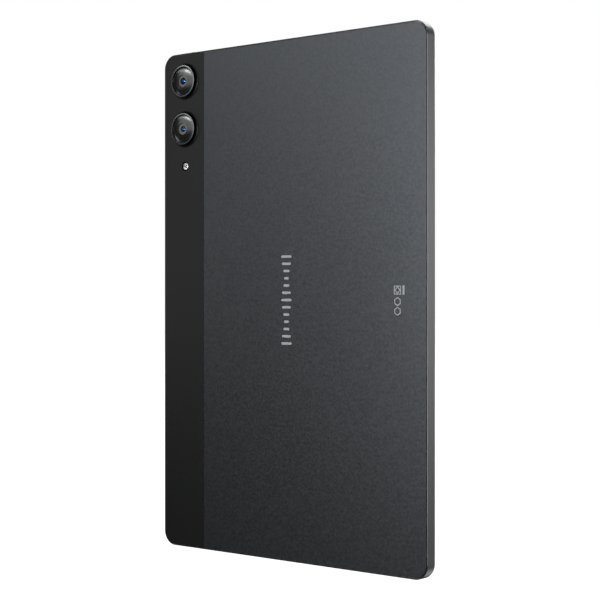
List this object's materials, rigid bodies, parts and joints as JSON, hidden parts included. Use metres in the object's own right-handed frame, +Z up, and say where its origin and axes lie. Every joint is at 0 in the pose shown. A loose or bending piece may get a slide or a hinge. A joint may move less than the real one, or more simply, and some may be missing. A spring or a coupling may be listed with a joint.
{
  "type": "tablet computer",
  "caption": "Flat portrait tablet with a glass screen, metal side frame and back, a matte camera strip with two round camera bumps, side keys and a sliding card tray.",
  "frame": {"origin": "middle of the bottom edge, half way through the thickness of the housing", "axes": "+Z up along the long side as the tablet stands in portrait, +Y out of the back cover (the screen faces -Y), +X towards the side with the camera strip"},
  "size_m": [0.169, 0.0093, 0.2575],
  "materials": {
    "frame_metal": "anodised dark grey, satin, with a polished back chamfer",
    "back_metal": "bead-blasted, anodised dark grey",
    "strip_plastic": "matte black, radio window",
    "trim_plastic": "matte black",
    "cover_glass": "gloss black glass with a dark printed border",
    "camera_glass": "coated lens glass",
    "ring_metal": "polished, turned",
    "cone_black": "black with fine turned grooves",
    "panel": "display laminate",
    "backlight": "white reflector and light guide",
    "board": "solder mask green",
    "flex": "amber polyimide ribbon",
    "steel": "plated steel",
    "cell": "dark wrapped pouch",
    "graphite": "graphite sheet",
    "dark_plastic": "moulded black",
    "flash_lens": "clear faceted lens over the lamp",
    "led": "lamp with a yellow phosphor",
    "mesh": "fine woven mesh, blackened"
  },
  "bodies": {
    "tablet_body": {"mid_frame": "frame_metal", "back_cover": "back_metal", "camera_strip": "strip_plastic", "front_bezel_trim": "trim_plastic", "cover_glass": "cover_glass", "display_panel": "panel", "backlight_unit": "backlight", "display_driver_board": "board", "display_flex": "flex", "front_camera_module": "dark_plastic", "main_camera_ring": "ring_metal", "main_camera_cone": "cone_black", "main_camera_window": "camera_glass", "second_camera_ring": "ring_metal", "second_camera_cone": "cone_black", "second_camera_window": "camera_glass", "main_camera_module": "dark_plastic", "second_camera_module": "dark_plastic", "second_camera_lens_barrel": "dark_plastic", "flash_lens": "flash_lens", "flash_led": "led", "main_board": "board", "processor_shield": "steel", "memory_shield": "steel", "radio_shield": "steel", "graphite_sheet": "graphite", "battery_cell_left": "cell", "battery_cell_right": "cell", "battery_board": "board", "usb_board": "board", "usb_receptacle_shell": "steel", "usb_tongue": "dark_plastic", "main_flex": "flex", "microphone": "steel", "power_button_switch": "steel", "volume_switch": "steel", "side_key_flex": "flex", "card_socket": "steel", "wifi_antenna": "flex", "antenna_cable": "dark_plastic", "speaker_box_lower_left": "dark_plastic", "speaker_mesh_lower_left": "mesh", "speaker_box_lower_right": "dark_plastic", "speaker_mesh_lower_right": "mesh", "speaker_box_upper_left": "dark_plastic", "speaker_mesh_upper_left": "mesh", "speaker_box_upper_right": "dark_plastic", "speaker_mesh_upper_right": "mesh", "board_screw_1": "steel", "board_screw_2": "steel", "board_screw_3": "steel", "board_screw_4": "steel", "board_screw_5": "steel", "board_screw_6": "steel", "board_screw_7": "steel", "board_screw_8": "steel"},
    "power_key": {"power_button": "frame_metal"},
    "volume_key": {"volume_rocker": "frame_metal"},
    "tray": {"card_tray": "frame_metal"},
    "focus_barrel": {"main_camera_lens_barrel": "dark_plastic"}
  },
  "joints": [
    {"name": "power_press", "type": "slide", "parent": "tablet_body", "child": "power_key", "axis": [0, 0, -1], "range_m": [0, 0.00035], "stiffness_N_per_m": 4000},
    {"name": "volume_rock", "type": "hinge", "parent": "tablet_body", "child": "volume_key", "pos_m": [0.0828, 0.0008, 0.218], "axis": [0, 1, 0], "range_deg": [-1.7, 1.7], "stiffness_Nm_per_rad": 0.3},
    {"name": "tray_slide", "type": "slide", "parent": "tablet_body", "child": "tray", "axis": [1, 0, 0], "range_m": [0, 0.02]},
    {"name": "focus_travel", "type": "slide", "parent": "tablet_body", "child": "focus_barrel", "axis": [0, 1, 0], "range_m": [0, 0.00025], "stiffness_N_per_m": 200}
  ]
}
